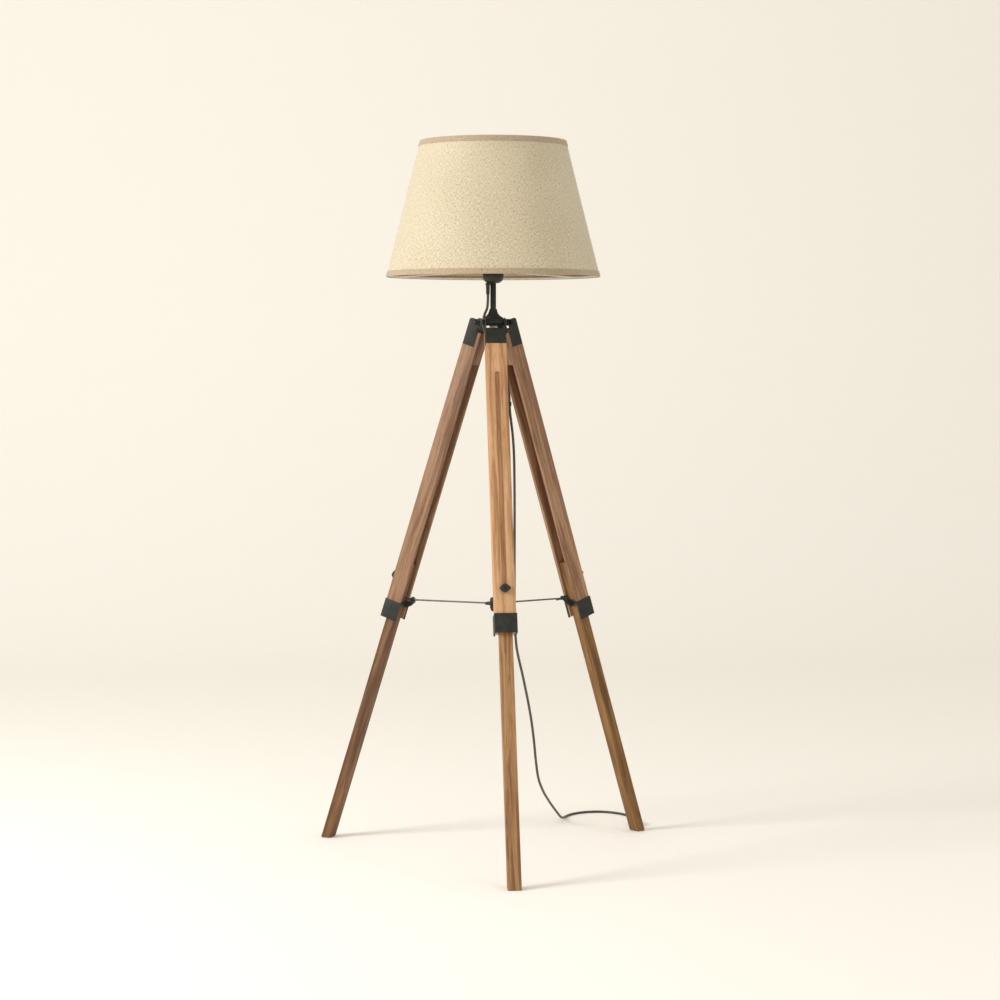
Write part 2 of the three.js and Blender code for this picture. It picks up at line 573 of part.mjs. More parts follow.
function addLeg(lamp, name, turn) {
  const leg = new THREE.Group();
  leg.rotation.z = turn;
  lamp.add(leg);
  const tilted = new THREE.Group();
  tilted.position.set(0, -HINGE_RADIUS, HINGE_Z);
  tilted.rotation.x = -LEG_TILT;
  leg.add(tilted);
  addPart(tilted, `${name}_bracket`, legBracket(), BLACK_STEEL());
  addPart(tilted, `${name}_hinge_bolt`, hingeBolt(), BLACK_STEEL());
  addPart(tilted, `${name}_hinge_nut`, hingeNut(), BLACK_STEEL());
  addPart(tilted, `${name}_upper_leg`, upperLeg(), UPPER_WOOD());
  addPart(tilted, `${name}_lower_leg`, lowerLeg(), LOWER_WOOD());
  addPart(tilted, `${name}_collar`, collar(), BLACK_STEEL());
  addPart(tilted, `${name}_clamp_knob`, clampKnob(), BLACK_PLASTIC());
  addPart(tilted, `${name}_clamp_washer`, clampWasher(), ZINC());
  const stud = rod(STUD_RADIUS, [0, OUTER_FACE - 11, -STUD_DOWN], [0, LOWER_FRONT - GAP, -STUD_DOWN], 16);
  addPart(tilted, `${name}_clamp_stud`, stud, ZINC());
  addPart(tilted, `${name}_spreader_bolt`, spreaderBolt(lugInLeg()), ZINC());
  addPart(tilted, `${name}_wing_nut`, wingNut(lugInLeg()), ZINC());
  addPart(leg, `${name}_spreader_rod`, spreaderRod(), ZINC());
  if (name === 'front') addPart(tilted, 'cord_clip', cordClip(), BLACK_PLASTIC());
}

// ---------------------------------------------------------------- cord
/** A nailed saddle on the front leg's side, round the cord. */
function cordClip() {
  const z = -CLIP_DOWN;
  const side = LEG_WIDTH / 2 + GAP;
  const ring = rod(4.2, [CLIP_X, CLIP_Y, z - 4], [CLIP_X, CLIP_Y, z + 4], 20);
  const tab = box([side, CLIP_Y - 3, z - 4], [side + 1.6, CLIP_Y + 9, z + 4]);
  return cut(join(ring, tab), rod(CORD_RADIUS + GAP, [CLIP_X, CLIP_Y, z - 6], [CLIP_X, CLIP_Y, z + 6], 16));
}

/** A flat two-blade plug that lies on the floor, its cord end away from the lamp's front. */
function plug() {
  const z = PLUG_Z;
  const relief = rod(4.2, [0, 10, z], [0, 30, z], 12);
  const body = new THREE.Shape();
  body.moveTo(-11, -26);
  body.lineTo(11, -26);
  body.lineTo(11, 2);
  body.quadraticCurveTo(10, 11, 5, 11);
  body.lineTo(-5, 11);
  body.quadraticCurveTo(-10, 11, -11, 2);
  const bevel = { bevelThickness: 2.5, bevelSize: 2.5, bevelOffset: -2.5, bevelSegments: 3 };
  const options = { depth: 10, curveSegments: 6, ...bevel };
  const housing = solid(new THREE.ExtrudeGeometry(body, options).translate(0, 0, z - 5));
  const blades = [-6.35, 6.35].map((offset) => {
    return box([offset - 0.75, -43, z - 3.15], [offset + 0.75, -25, z + 3.15]);
  });
  return join(relief, housing, ...blades);
}

function addCord(lamp) {
  addPart(lamp, 'cord_upper', cordAlong(UPPER_CORD, 12), CORD_PVC());
  addPart(lamp, 'cord_free', cordAlong(FREE_CORD, 22), CORD_PVC());
  const lying = new THREE.Group();
  lying.position.set(PLUG_CENTRE[0], PLUG_CENTRE[1], 0);
  lying.rotation.z = PLUG_YAW;
  lamp.add(lying);
  addPart(lying, 'plug', plug(), BLACK_PLASTIC());
}

// ---------------------------------------------------------------- the lamp
const lamp = new THREE.Group();
lamp.position.y = AXIS_Y;
addShade(lamp);
addHolderAndBulb(lamp);
addPost(lamp);
LEG_NAMES.forEach((name, i) => addLeg(lamp, name, (i * 2 * Math.PI) / LEG_NAMES.length));
addPart(lamp, 'spreader_centre', spreaderCentre(), BLACK_STEEL());
addCord(lamp);

export default lamp;
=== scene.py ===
"""Looks of a tripod floor lamp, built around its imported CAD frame. Metres, +Z up, floor at z = 0."""
import math

import bmesh
import bpy
from mathutils import Matrix, Vector


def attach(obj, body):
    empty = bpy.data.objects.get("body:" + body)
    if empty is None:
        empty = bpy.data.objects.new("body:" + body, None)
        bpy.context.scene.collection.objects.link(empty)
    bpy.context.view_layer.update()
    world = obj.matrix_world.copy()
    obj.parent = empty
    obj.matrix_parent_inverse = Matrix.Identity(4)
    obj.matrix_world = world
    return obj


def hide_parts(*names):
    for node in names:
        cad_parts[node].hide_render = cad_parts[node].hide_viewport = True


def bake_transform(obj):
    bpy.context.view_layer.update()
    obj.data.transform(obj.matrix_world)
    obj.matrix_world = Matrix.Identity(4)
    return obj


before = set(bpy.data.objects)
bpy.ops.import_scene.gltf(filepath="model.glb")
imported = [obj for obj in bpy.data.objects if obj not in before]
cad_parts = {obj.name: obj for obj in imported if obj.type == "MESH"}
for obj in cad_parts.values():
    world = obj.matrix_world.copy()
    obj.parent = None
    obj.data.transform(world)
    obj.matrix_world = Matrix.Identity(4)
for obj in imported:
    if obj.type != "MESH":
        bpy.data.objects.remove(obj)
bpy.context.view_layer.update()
MM = 0.001
AXIS = Vector((0, 0.09, 0))  # foot of the lamp's vertical axis
UPRIGHT = Matrix.Translation(AXIS)

# The legs and the spreader, in millimetres from the lamp's axis and the floor.
LEG_NAMES = ["front", "right", "left"]
LEG_TILT = math.radians(18.2)
HINGE_RADIUS, HINGE_Z = 32, 1120
LUG_RADIUS, SPREADER_Z = 190, 528
PIN_RADIUS = 14  # the pins in the spreader's centre piece
BRACKET_HALF = 21.6  # from a leg's middle to the outside of its bracket
CLAMP_Z = -573.5  # the clamp stud, in a leg's own frame


# ---------------------------------------------------------------- camera, light and floor
CAMERA_BACK, CAMERA_LEFT, CAMERA_Z = 5.284, 0.561, 1.051  # metres from the foot of the axis
CAMERA_PITCH = math.radians(3.281)  # below level
CAMERA_YAW = 0.0027  # to the right of the lamp's axis


def make_camera():
    bpy.context.scene.view_settings.view_transform = "Standard"
    camera = bpy.data.objects.new("camera", bpy.data.cameras.new("camera"))
    camera.data.lens = 90.93
    camera.data.sensor_width = 36
    camera.location = AXIS + Vector((-CAMERA_LEFT, -CAMERA_BACK, CAMERA_Z))
    heading = -math.atan2(CAMERA_LEFT, CAMERA_BACK) - CAMERA_YAW
    camera.rotation_euler = (math.pi / 2 - CAMERA_PITCH, 0, heading)
    bpy.context.collection.objects.link(camera)
    bpy.context.scene.camera = camera


def make_light(name, place, aim, size, power, colour):
    data = bpy.data.lights.new(name, "AREA")
    data.shape = "DISK"
    data.size = size
    data.energy = power
    data.color = colour
    lamp = bpy.data.objects.new(name, data)
    lamp.location = place
    lamp.rotation_euler = (Vector(aim) - Vector(place)).to_track_quat("-Z", "Y").to_euler()
    bpy.context.collection.objects.link(lamp)


def make_stage():
    world = bpy.data.worlds.new("studio")
    bpy.context.scene.world = world
    world.use_nodes = True
    background = world.node_tree.nodes["Background"]
    background.inputs["Color"].default_value = (1.0, 0.968, 0.905, 1)
    background.inputs["Strength"].default_value = 0.78
    make_light("key", (-3.6, -1.3, 2.4), (0, 0.1, 0.9), 1.6, 124, (1.0, 0.992, 0.985))
    make_light("fill", (2.8, -2.6, 1.6), (0, 0.1, 0.8), 2.2, 14, (1.0, 0.97, 0.92))
    make_floor()


def make_floor():
    """Pale paper that lies on the floor and curves up into a backdrop, in metres."""
    reach, back, top, bend, steps = 9.0, 3.2, 7.0, 1.2, 8
    outline = [(-reach, 0.0), (back, 0.0)]
    for i in range(1, steps + 1):
        angle = i / steps * math.pi / 2
        outline.append((back + bend * math.sin(angle), bend * (1 - math.cos(angle))))
    outline.append((back + bend, top))
    points = [(x, y, z) for y, z in outline for x in (-reach, reach)]
    faces = [(2 * i, 2 * i + 1, 2 * i + 3, 2 * i + 2) for i in range(len(outline) - 1)]
    floor = bpy.data.meshes.new("floor")
    floor.from_pydata(points, [], faces)
    for face in floor.polygons:
        face.use_smooth = True
    stage = bpy.data.objects.new("floor", floor)
    bpy.context.collection.objects.link(stage)
    paper = new_material("backdrop_paper", (0.93, 0.90, 0.84), 0.9)
    stage.data.materials.append(paper.material)


# ---------------------------------------------------------------- material nodes
class Nodes:
    """A material and short calls that add nodes to it."""

    def __init__(self, material):
        self.material = material
        self.tree = material.node_tree
        self.shader = self.tree.nodes["Principled BSDF"]

    def add(self, kind, **settings):
        node = self.tree.nodes.new(kind)
        for key, value in settings.items():
            if hasattr(node, key):
                setattr(node, key, value)
            else:
                node.inputs[key].default_value = value
        return node

    def link(self, output, target):
        self.tree.links.new(output, target)

    def placed(self, scale, offset=(0, 0, 0)):
        """The piece's own coordinates in metres, shifted and scaled."""
        where = self.add("ShaderNodeTexCoord")
        return self.scaled(where.outputs["Object"], scale, offset)

    def scaled(self, vector, scale, offset=(0, 0, 0)):
        mapping = self.add("ShaderNodeMapping")
        mapping.inputs["Location"].default_value = offset
        mapping.inputs["Scale"].default_value = scale
        self.link(vector, mapping.inputs["Vector"])
        return mapping.outputs["Vector"]

    def noise(self, vector, scale, detail=3.0, roughness=0.5, distortion=0.0):
        node = self.add("ShaderNodeTexNoise")
        node.inputs["Scale"].default_value = scale
        node.inputs["Detail"].default_value = detail
        node.inputs["Roughness"].default_value = roughness
        node.inputs["Distortion"].default_value = distortion
        self.link(vector, node.inputs["Vector"])
        return node.outputs["Fac"]

    def ramp(self, value, stops):
        node = self.add("ShaderNodeValToRGB")
        elements = node.color_ramp.elements
        while len(elements) < len(stops):
            elements.new(0.5)
        for element, (place, colour) in zip(elements, stops):
            element.position = place
            element.color = (*colour, 1) if len(colour) == 3 else colour
        self.link(value, node.inputs["Fac"])
        return node.outputs["Color"]

    def mix(self, kind, factor, a, b):
        node = self.add("ShaderNodeMix", data_type="RGBA", blend_type=kind)
        for value, index in ((factor, 0), (a, 6), (b, 7)):
            if isinstance(value, (int, float)):
                node.inputs[index].default_value = value
            elif isinstance(value, tuple):
                node.inputs[index].default_value = (*value, 1)
            else:
                self.link(value, node.inputs[index])
        return node.outputs[2]

    def math(self, operation, a, b=0.0):
        node = self.add("ShaderNodeMath", operation=operation)
        for index, value in enumerate((a, b)):
            if isinstance(value, (int, float)):
                node.inputs[index].default_value = value
            else:
                self.link(value, node.inputs[index])
        return node.outputs[0]

    def bump(self, height, strength, distance):
        node = self.add("ShaderNodeBump")
        node.inputs["Strength"].default_value = strength
        node.inputs["Distance"].default_value = distance
        self.link(height, node.inputs["Height"])
        self.link(node.outputs["Normal"], self.shader.inputs["Normal"])

    def colour(self, output):
        self.link(output, self.shader.inputs["Base Color"])

    def roughness(self, output):
        self.link(output, self.shader.inputs["Roughness"])


def new_material(name, colour, roughness, metallic=0.0):
    material = bpy.data.materials.new(name)
    material.use_nodes = True
    nodes = Nodes(material)
    nodes.shader.inputs["Base Color"].default_value = (*colour, 1)
    nodes.shader.inputs["Roughness"].default_value = roughness
    nodes.shader.inputs["Metallic"].default_value = metallic
    return nodes


def wood(name, light, middle, dark, offset):
    """Oiled hardwood with its grain along the piece's own z axis."""
    n = new_material(name, middle, 0.55)
    grain = n.placed((1, 1, 0.055), offset)
    rings = n.noise(grain, 95, 5, 0.62, 0.6)
    fibres = n.noise(grain, 900, 4, 0.7)
    patches = n.noise(grain, 14, 2, 0.5)
    base = n.ramp(rings, [(0.40, dark), (0.5, middle), (0.60, light)])
    streaks = n.ramp(fibres, [(0.3, (0.62, 0.58, 0.55)), (0.62, (1, 1, 1))])
    tinted = n.mix("MULTIPLY", 0.5, base, streaks)
    clouds = n.ramp(patches, [(0.35, (0.72, 0.68, 0.66)), (0.65, (1.08, 1.05, 1.0))])
    toned = n.mix("MULTIPLY", 0.6, tinted, clouds)
    pores = n.noise(n.placed((1, 1, 0.02), [2 * v for v in offset]), 1500, 2, 0.5)
    pore_mask = n.ramp(pores, [(0.60, (1, 1, 1)), (0.70, (0.45, 0.38, 0.34))])
    n.colour(n.mix("MULTIPLY", 0.55, toned, pore_mask))
    n.roughness(n.ramp(fibres, [(0.3, (0.66,) * 3), (0.7, (0.47,) * 3)]))
    height = n.math("ADD", n.math("MULTIPLY", rings, 0.5), n.math("MULTIPLY", fibres, 0.6))
    n.bump(height, 0.35, 0.0006)
    n.shader.inputs["Specular IOR Level"].default_value = 0.35
    return n.material


def black_steel():
    """Powder coat on steel: a fine orange peel, rubbed lighter here and there."""
    n = new_material("black_powder_coat", (0.024, 0.026, 0.025), 0.5)
    where = n.placed((1, 1, 1))
    peel = n.noise(where, 1400, 3, 0.6)
    rub = n.noise(where, 60, 5, 0.65)
    tones = [(0.35, (0.011, 0.012, 0.010)), (0.62, (0.024, 0.025, 0.021)), (0.8, (0.045, 0.043, 0.036))]
    n.colour(n.ramp(rub, tones))
    n.roughness(n.ramp(rub, [(0.3, (0.42,) * 3), (0.7, (0.6,) * 3)]))
    n.bump(peel, 0.25, 0.0002)
    n.shader.inputs["Specular IOR Level"].default_value = 0.32
    return n.material


def cream_wire():
    """Dip-coated wire: a slightly uneven cream skin, dirtier in patches."""
    n = new_material("cream_wire_coat", (0.72, 0.67, 0.56), 0.45)
    patches = n.noise(n.placed((1, 1, 1)), 90, 4, 0.6)
    n.colour(n.ramp(patches, [(0.3, (0.60, 0.54, 0.43)), (0.65, (0.76, 0.71, 0.60))]))
    n.roughness(n.ramp(patches, [(0.3, (0.55,) * 3), (0.7, (0.4,) * 3)]))
    n.bump(patches, 0.2, 0.0002)
    return n.material


def plated(name, tone, roughness):
    """Plated metal with dull blotches and fine scratches."""
    n = new_material(name, tone, roughness, 0.95)
    blotch = n.noise(n.placed((1, 1, 1)), 160, 4, 0.6)
    scratch = n.noise(n.placed((1, 1, 0.08)), 1800, 2, 0.5)
    dark = tuple(v * 0.55 for v in tone)
    n.colour(n.ramp(blotch, [(0.3, dark), (0.65, tone)]))
    n.roughness(n.ramp(scratch, [(0.3, (roughness + 0.14,) * 3), (0.7, (roughness - 0.06,) * 3)]))
    n.bump(scratch, 0.15, 0.0001)
    return n.material


def moulded_black(name, colour, roughness, grain):
    """Moulded plastic or a cord's sheath, with a haze of handling on it."""
    n = new_material(name, colour, roughness)
    fine = n.noise(n.placed((1, 1, 1)), grain, 2, 0.5)
    haze = n.noise(n.placed((1, 1, 1)), 35, 4, 0.6)
    light = tuple(v * 1.9 + 0.004 for v in colour)
    n.colour(n.ramp(haze, [(0.35, colour), (0.75, light)]))
    n.roughness(n.ramp(haze, [(0.3, (roughness - 0.06,) * 3), (0.7, (roughness + 0.12,) * 3)]))
    n.bump(fine, 0.3, 0.00015)
    return n.material


def linen(name, tones, thread, slub, depth):
    """A plain weave over a UV map in metres, with slubs, pale, tan and brown yarn, and painted shade in the
    gaps between its threads.
    """
    pale, tan, brown = tones
    n = new_material(name, pale, 0.92)
    cloth = n.add("ShaderNodeUVMap", uv_map="weave").outputs["UV"]
    split = n.add("ShaderNodeSeparateXYZ")
    n.link(cloth, split.inputs[0])
    wander = n.noise(cloth, 45, 2, 0.5)
    bend = n.math("MULTIPLY", n.math("SUBTRACT", wander, 0.5), thread * 1.6)
    turn = math.pi / thread
    across = n.math("SINE", n.math("MULTIPLY", n.math("ADD", split.outputs[0], bend), turn))
    along = n.math("SINE", n.math("MULTIPLY", n.math("ADD", split.outputs[1], bend), turn))
    lifted = n.math("GREATER_THAN", n.math("MULTIPLY", across, along), 0.0)
    height = n.add("ShaderNodeMix", data_type="FLOAT")
    n.link(lifted, height.inputs[0])
    n.link(n.math("ABSOLUTE", across), height.inputs[2])
    n.link(n.math("ABSOLUTE", along), height.inputs[3])
    slub_v = n.noise(n.scaled(cloth, (1, 0.2, 1)), slub, 3, 0.6)
    slub_h = n.noise(n.scaled(cloth, (0.2, 1, 1)), slub, 3, 0.6)
    yarn = n.math("MULTIPLY", n.math("ADD", slub_v, slub_h), 0.5)
    base = n.ramp(yarn, [(0.38, brown), (0.47, tan), (0.56, pale)])
    flecks = n.ramp(n.noise(cloth, 800, 3, 0.65), [(0.36, (0.66, 0.58, 0.46)), (0.56, (1, 1, 1))])
    flecked = n.mix("MULTIPLY", 0.75, base, flecks)
    # Painted shade: the weave is darkened where its threads dip, in the gaps between them.
    gap_shade = n.ramp(height.outputs[0], [(0.0, (0.52, 0.45, 0.34)), (0.5, (1, 1, 1))])
    woven = n.mix("MULTIPLY", 0.7, flecked, gap_shade)
    clouds = n.ramp(n.noise(cloth, 9, 3, 0.5), [(0.35, (0.86, 0.84, 0.8)), (0.65, (1, 1, 1))])
    n.colour(n.mix("MULTIPLY", 0.35, woven, clouds))
    relief = n.math("ADD", height.outputs[0], n.math("MULTIPLY", yarn, 1.6))
    n.bump(relief, 0.55, depth)
    n.shader.inputs["Sheen Weight"].default_value = 0.25
    n.shader.inputs["Sheen Roughness"].default_value = 0.5
    return n.material


def glazed(name, colour, roughness):
    """Porcelain or opal glass: smooth, with a faint unevenness."""
    n = new_material(name, colour, roughness)
    haze = n.noise(n.placed((1, 1, 1)), 70, 3, 0.5)
    low = tuple(v * 0.93 for v in colour)
    n.colour(n.ramp(haze, [(0.35, low), (0.65, colour)]))
    n.roughness(n.ramp(haze, [(0.3, (roughness,) * 3), (0.7, (roughness + 0.08,) * 3)]))
    n.bump(haze, 0.1, 0.0004)
    return n.material


# Light, middle and dark tones of each leg's wood, and where in the timber its grain is taken. The legs are
# one wood; the tone differences between them are painted light and shade.
UPPER_WOOD = {
    "front": ((0.66, 0.40, 0.215), (0.56, 0.315, 0.155), (0.40, 0.205, 0.09), (0.3, 0.1, 0)),
    "right": ((0.45, 0.275, 0.165), (0.36, 0.205, 0.115), (0.24, 0.125, 0.066), (1.7, 0.6, 2)),
    "left": ((0.37, 0.215, 0.125), (0.285, 0.158, 0.086), (0.175, 0.09, 0.045), (3.1, 1.2, 4)),
}
# Painted light and shade here too: the same wood, lightest on the front foot and darkest on the left one.
LOWER_WOOD = {
    "front": ((0.41, 0.24, 0.11), (0.325, 0.175, 0.074), (0.21, 0.102, 0.04), (5.2, 2.1, 1)),
    "right": ((0.31, 0.165, 0.052), (0.235, 0.116, 0.032), (0.145, 0.064, 0.016), (6.4, 3.3, 3)),
    "left": ((0.245, 0.122, 0.05), (0.175, 0.08, 0.03), (0.10, 0.042, 0.015), (7.9, 4.1, 5)),
}
# Pale, tan and brown yarn.
CLOTH_TONES = ((0.83, 0.755, 0.60), (0.68, 0.595, 0.415), (0.43, 0.335, 0.20))
LINING_TONES = ((0.74, 0.66, 0.48), (0.66, 0.57, 0.39), (0.54, 0.45, 0.29))
TAPE_TONES = ((0.56, 0.46, 0.325), (0.47, 0.375, 0.255), (0.34, 0.26, 0.165))


def make_materials():
    m = {
        "upper": {leg: wood(f"{leg}_leg_wood", *UPPER_WOOD[leg]) for leg in LEG_NAMES},
        "lower": {leg: wood(f"{leg}_foot_wood", *LOWER_WOOD[leg]) for leg in LEG_NAMES},
        "steel": black_steel(),
        "wire": cream_wire(),
        "zinc": plated("zinc_plate", (0.50, 0.49, 0.46), 0.34),
        "rod": plated("blackened_rod", (0.16, 0.155, 0.145), 0.4),
        "dark": plated("blackened_steel", (0.065, 0.062, 0.055), 0.45),
        "brass": plated("brass_shell", (0.62, 0.46, 0.19), 0.3),
        "plastic": moulded_black("black_phenolic", (0.012, 0.009, 0.006), 0.45, 900),
        "plug": moulded_black("plug_vinyl", (0.02, 0.02, 0.019), 0.45, 1500),
        "cord": moulded_black("cord_vinyl", (0.04, 0.037, 0.032), 0.42, 2200),
        "ceramic": glazed("glazed_porcelain", (0.80, 0.77, 0.70), 0.22),
        "opal": glazed("opal_glass", (0.88, 0.86, 0.80), 0.30),
        "linen": linen("shade_linen", CLOTH_TONES, 0.0010, 900, 0.0005),
        "lining": linen("shade_lining", LINING_TONES, 0.0011, 620, 0.0003),
        "tape": linen("shade_tape", TAPE_TONES, 0.00075, 900, 0.0003),
    }
    opal = m["opal"].node_tree.nodes["Principled BSDF"]
    opal.inputs["Subsurface Weight"].default_value = 0.3
    opal.inputs["Subsurface Radius"].default_value = (0.01, 0.008, 0.006)
    return m


# ---------------------------------------------------------------- mesh helpers
def add_object(name, points, faces, matrix=None, smooth=35):
    """A mesh object. Points are in millimetres in the frame that matrix (in metres) places."""
    mesh = bpy.data.meshes.new(name)
    mesh.from_pydata([tuple(c * MM for c in p) for p in points], [], faces)
    mesh.update()
    obj = bpy.data.objects.new(name, mesh)
    bpy.context.collection.objects.link(obj)
    if matrix is not None:
        obj.matrix_world = matrix
    shade(obj, smooth)
    return obj


def shade(obj, angle):
    """Smooth shading, with the edges that turn more than the angle kept sharp."""
    for face in obj.data.polygons:
        face.use_smooth = True
    limit = math.radians(angle)
    bm = bmesh.new()
    bm.from_mesh(obj.data)
    for edge in bm.edges:
        edge.smooth = len(edge.link_faces) != 2 or edge.calc_face_angle(0) < limit
    bm.to_mesh(obj.data)
    bm.free()


def recalculate(obj):
    bm = bmesh.new()
    bm.from_mesh(obj.data)
    bmesh.ops.recalc_face_normals(bm, faces=bm.faces)
    bm.to_mesh(obj.data)
    bm.free()


def apply_modifiers(obj):
    bpy.context.view_layer.update()
    shown = obj.evaluated_get(bpy.context.evaluated_depsgraph_get())
    mesh = bpy.data.meshes.new_from_object(shown)
    obj.modifiers.clear()
    obj.data = mesh


def settle(obj, body, material, slot, *nodes):
    """Gives a finished piece its material and its body, and hides the CAD nodes that it stands for."""
    if material is not None:
        obj.data.materials.clear()
        obj.data.materials.append(material)
    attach(obj, body)
    if nodes:
        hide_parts(*nodes)
    return obj


def refine(node, matrix, bevel, body, material, slot, **rounding):
    """Puts a rounded copy of a CAD node in that node's place."""
    return settle(rounded_copy(node, matrix, bevel, **rounding), body, material, slot, node)


def rounded_copy(node, matrix, bevel, segments=3, angle=30):
    """A copy of a CAD node in its own frame, with its facets joined and its edges rounded."""
    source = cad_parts[node]
    mesh = source.data.copy()
    mesh.materials.clear()
    mesh.transform(matrix.inverted())
    bm = bmesh.new()
    bm.from_mesh(mesh)
    bmesh.ops.remove_doubles(bm, verts=bm.verts, dist=0.00002)
    bmesh.ops.dissolve_limit(bm, angle_limit=math.radians(1.5), verts=bm.verts, edges=bm.edges)
    bm.to_mesh(mesh)
    bm.free()
    obj = bpy.data.objects.new(node + "_piece", mesh)
    bpy.context.collection.objects.link(obj)
    obj.matrix_world = matrix
    if bevel:
        rounding = obj.modifiers.new("rounding", "BEVEL")
        rounding.width = bevel * MM
        rounding.segments = segments
        rounding.limit_method = "ANGLE"
        rounding.angle_limit = math.radians(angle)
        rounding.use_clamp_overlap = True
        apply_modifiers(obj)
    shade(obj, 40)
    return obj


ON_AXIS = 1e-6  # a radius smaller than this is on the axis


def circle(radius, sides):
    turns = [2 * math.pi * i / sides for i in range(sides)]
    return [(radius * math.cos(turn), radius * math.sin(turn)) for turn in turns]


def skin(rings, size):
    """The faces between rings of points that have the same size, one after the other."""
    faces = []
    for k in range(rings - 1):
        for i in range(size):
            j = (i + 1) % size
            faces.append((k * size + i, k * size + j, (k + 1) * size + j, (k + 1) * size + i))
    return faces


def capped(rings, size):
    """The faces of a closed bar: the skin and its two ends."""
    ends = [tuple(range(size))[::-1], tuple((rings - 1) * size + i for i in range(size))]
    return skin(rings, size) + ends


def band(inner, low, outer, high):
    """The profile of a plain ring, or of a disc where inner is 0."""
    return [(inner, low), (outer, low), (outer, high), (inner, high)]


def lathe(name, profile, matrix, sides=72, smooth=35):
    """A closed profile of (radius, z) turned about z."""
    count = len(profile)
    points = [(r * x, r * y, z) for x, y in circle(1, sides) for r, z in profile]
    faces = []
    for i in range(sides):
        j = (i + 1) % sides
        for k in range(count):
            after = (k + 1) % count
            if profile[k][0] < ON_AXIS and profile[after][0] < ON_AXIS:
                continue
            faces.append((i * count + k, j * count + k, j * count + after, i * count + after))
    obj = add_object(name, points, faces, matrix, smooth)
    bm = bmesh.new()
    bm.from_mesh(obj.data)
    bmesh.ops.remove_doubles(bm, verts=bm.verts, dist=1e-7)
    bmesh.ops.recalc_face_normals(bm, faces=bm.faces)
    bm.to_mesh(obj.data)
    bm.free()
    shade(obj, smooth)
    return obj


def soften(profile, radius, steps=3):
    """A closed profile with each of its corners rounded, except on the axis."""
    out = []
    count = len(profile)
    for i in range(count):
        before, corner, after = (Vector(profile[(i + d) % count]) for d in (-1, 0, 1))
        if corner.x < ON_AXIS:
            out.append(tuple(corner))
            continue
        back, ahead = before - corner, after - corner
        reach = min(radius, 0.45 * back.length, 0.45 * ahead.length)
        start, end = corner + back.normalized() * reach, corner + ahead.normalized() * reach
        for step in range(steps + 1):
            t = step / steps
            out.append(tuple((1 - t) ** 2 * start + 2 * t * (1 - t) * corner + t * t * end))
    return out


def screw_thread(name, radius, depth, pitch, length, matrix, sides=28, inner=0.0):
    """A threaded bar, or a threaded sleeve where inner is given, from z = 0 up to length."""
    per_turn = 8
    rows = int(length / pitch * per_turn)
    points = []
    for k in range(rows + 1):
        z = length * k / rows
        edge = min(1.0, z / (0.6 * pitch), (length - z) / (0.6 * pitch))
        for i in range(sides):
            angle = 2 * math.pi * i / sides
            ridge = 0.5 - 0.5 * math.cos(2 * math.pi * (z / pitch - i / sides))
            r = radius - depth * (1 - edge * ridge)
            points.append((r * math.cos(angle), r * math.sin(angle), z))
    if inner:
        base = len(points)
        points += [(x, y, z) for z in (0, length) for x, y in circle(inner, sides)]
        faces = skin(rows + 1, sides)
        for i in range(sides):
            j = (i + 1) % sides
            faces.append((base + j, base + i, base + sides + i, base + sides + j))
            faces.append((i, base + i, base + j, j))
            faces.append((base + sides + i, rows * sides + i, rows * sides + j, base + sides + j))
    else:
        faces = capped(rows + 1, sides)
    obj = add_object(name, points, faces, matrix, 40)
    recalculate(obj)
    return obj


def joined(*objs):
    """The first object, holding the meshes of all of them."""
    target = objs[0]
    bm = bmesh.new()
    back = target.matrix_world.inverted()
    for obj in objs:
        mesh = obj.data.copy()
        mesh.transform(back @ obj.matrix_world)
        bm.from_mesh(mesh)
        if obj is not target:
            bpy.data.objects.remove(obj)
    bm.to_mesh(target.data)
    bm.free()
    return target


def united(first, *others):
    """The union of closed meshes, as one closed mesh."""
    for other in others:
        union = first.modifiers.new("union", "BOOLEAN")
        union.operation = "UNION"
        union.solver = "EXACT"
        union.object = other
        apply_modifiers(first)
        bpy.data.objects.remove(other)
    shade(first, 40)
    return first


def leg_matrix(name, tilted=True):
    """A leg's own frame: at its hinge and along the leg, or at the axis and upright if not tilted."""
    turn = Matrix.Rotation(2 * math.pi / 3 * LEG_NAMES.index(name), 4, "Z")
    place = Matrix.Translation(AXIS) @ turn
    if not tilted:
        return place
    hinge = Matrix.Translation((0, -HINGE_RADIUS * MM, HINGE_Z * MM))
    return place @ hinge @ Matrix.Rotation(-LEG_TILT, 4, "X")


def aimed(matrix, place, direction):
    """A frame at a point of another frame (millimetres), with z along a direction of that frame."""
    turn = Vector(direction).to_track_quat("Z", "Y").to_matrix().to_4x4()
    return matrix @ Matrix.Translation(Vector(place) * MM) @ turn


# ---------------------------------------------------------------- cord
CORD_RADIUS = 2.7
CORD_STEP = 5  # between the rings of the cord's mesh
CORD_LOWEST = CORD_RADIUS + 0.05  # of its centre, where it lies on the floor
PLUG_CENTRE = (349.4, 269.6)
PLUG_Z = 7.6
